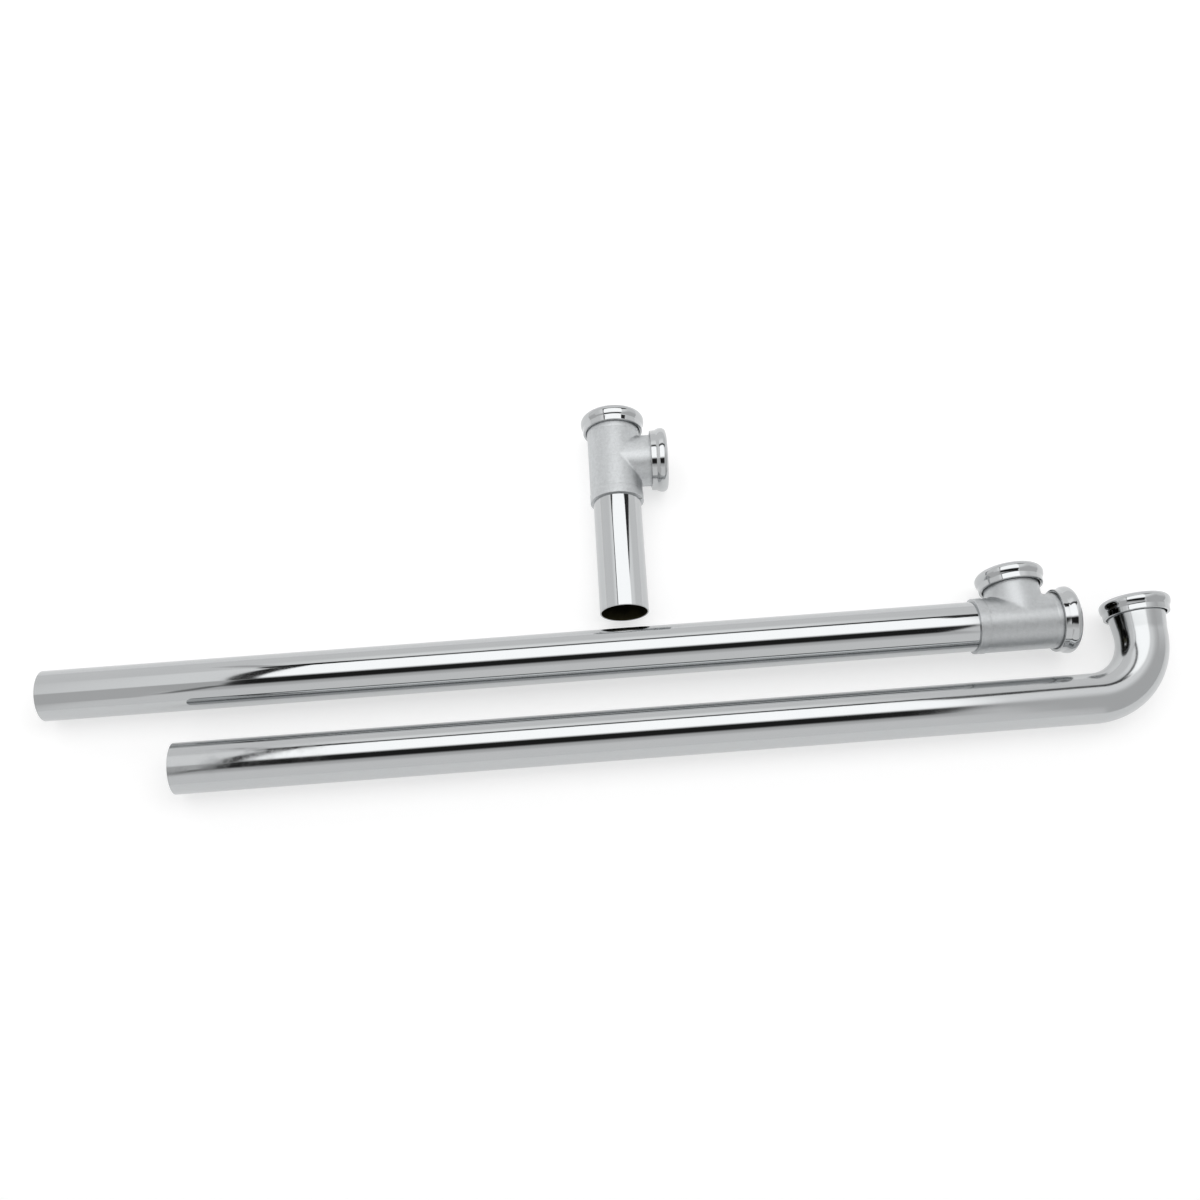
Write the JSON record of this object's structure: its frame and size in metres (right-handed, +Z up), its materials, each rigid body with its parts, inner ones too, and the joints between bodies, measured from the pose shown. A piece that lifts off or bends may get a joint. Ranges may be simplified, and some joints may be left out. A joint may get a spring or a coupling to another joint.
{
  "type": "triple bowl sink drain fitting",
  "caption": "Chrome drain fitting set for a triple bowl sink: an outlet tee with a tail, a long arm with a tee and a long arm with a bend, joined by round slip nuts.",
  "frame": {"origin": "centre of the bounding box, on the floor on which the fittings lie", "axes": "+X along the middle arm from its free end to its tee, +Y the way the bowl inlets point, +Z up"},
  "size_m": [0.8556, 0.2871, 0.0514],
  "materials": {
    "polished_chrome": "polished",
    "cast_plated": "satin, as cast and plated",
    "washer_rubber": "matt"
  },
  "bodies": {
    "fittings": {"outlet_tee": "cast_plated", "outlet_tail": "polished_chrome", "middle_tee": "cast_plated", "middle_tube": "polished_chrome", "end_elbow_tube": "polished_chrome"},
    "outlet_top_washer": {"outlet_top_washer": "washer_rubber"},
    "outlet_top_nut": {"outlet_top_nut": "polished_chrome"},
    "outlet_side_washer": {"outlet_side_washer": "washer_rubber"},
    "outlet_side_nut": {"outlet_side_nut": "polished_chrome"},
    "middle_branch_washer": {"middle_branch_washer": "washer_rubber"},
    "middle_branch_nut": {"middle_branch_nut": "polished_chrome"},
    "middle_run_washer": {"middle_run_washer": "washer_rubber"},
    "middle_run_nut": {"middle_run_nut": "polished_chrome"},
    "end_washer": {"end_washer": "washer_rubber"},
    "end_nut": {"end_nut": "polished_chrome"}
  },
  "joints": [
    {"name": "outlet_top_nut_travel", "type": "slide", "parent": "fittings", "child": "outlet_top_washer", "axis": [0.0244, 0.9989, 0.0403], "range_m": [0, 0.00553]},
    {"name": "outlet_top_nut_turn", "type": "hinge", "parent": "outlet_top_washer", "child": "outlet_top_nut", "pos_m": [0.01573, 0.13586, 0.02559], "axis": [0.0244, 0.9989, 0.0403], "range_deg": [0, 900]},
    {"name": "outlet_side_nut_travel", "type": "slide", "parent": "fittings", "child": "outlet_side_washer", "axis": [0.9989, -0.026, 0.0382], "range_m": [0, 0.00553]},
    {"name": "outlet_side_nut_turn", "type": "hinge", "parent": "outlet_side_washer", "child": "outlet_side_nut", "pos_m": [0.05033, 0.10157, 0.02559], "axis": [0.9989, -0.026, 0.0382], "range_deg": [0, 900]},
    {"name": "middle_branch_nut_travel", "type": "slide", "parent": "fittings", "child": "middle_branch_washer", "axis": [-0.0001, 1, 0.0081], "range_m": [0, 0.00553]},
    {"name": "middle_branch_nut_turn", "type": "hinge", "parent": "middle_branch_washer", "child": "middle_branch_nut", "pos_m": [0.31048, -0.02526, 0.02568], "axis": [-0.0001, 1, 0.0081], "range_deg": [0, 900]},
    {"name": "middle_run_nut_travel", "type": "slide", "parent": "fittings", "child": "middle_run_washer", "axis": [1, 0, 0.0086], "range_m": [0, 0.00553]},
    {"name": "middle_run_nut_turn", "type": "hinge", "parent": "middle_run_washer", "child": "middle_run_nut", "pos_m": [0.34388, -0.06071, 0.02568], "axis": [1, 0, 0.0086], "range_deg": [0, 900]},
    {"name": "end_nut_travel", "type": "slide", "parent": "fittings", "child": "end_washer", "axis": [-0.0024, 0.9956, 0.0934], "range_m": [0, 0.00553]},
    {"name": "end_nut_turn", "type": "hinge", "parent": "end_washer", "child": "end_nut", "pos_m": [0.40211, -0.05513, 0.02539], "axis": [-0.0024, 0.9956, 0.0934], "range_deg": [0, 900]}
  ],
  "couplings": [
    {"joint": "outlet_top_nut_travel", "follows": "outlet_top_nut_turn", "m_per_rad": 0.00035152},
    {"joint": "outlet_side_nut_travel", "follows": "outlet_side_nut_turn", "m_per_rad": 0.00035152},
    {"joint": "middle_branch_nut_travel", "follows": "middle_branch_nut_turn", "m_per_rad": 0.00035152},
    {"joint": "middle_run_nut_travel", "follows": "middle_run_nut_turn", "m_per_rad": 0.00035152},
    {"joint": "end_nut_travel", "follows": "end_nut_turn", "m_per_rad": 0.00035152}
  ]
}
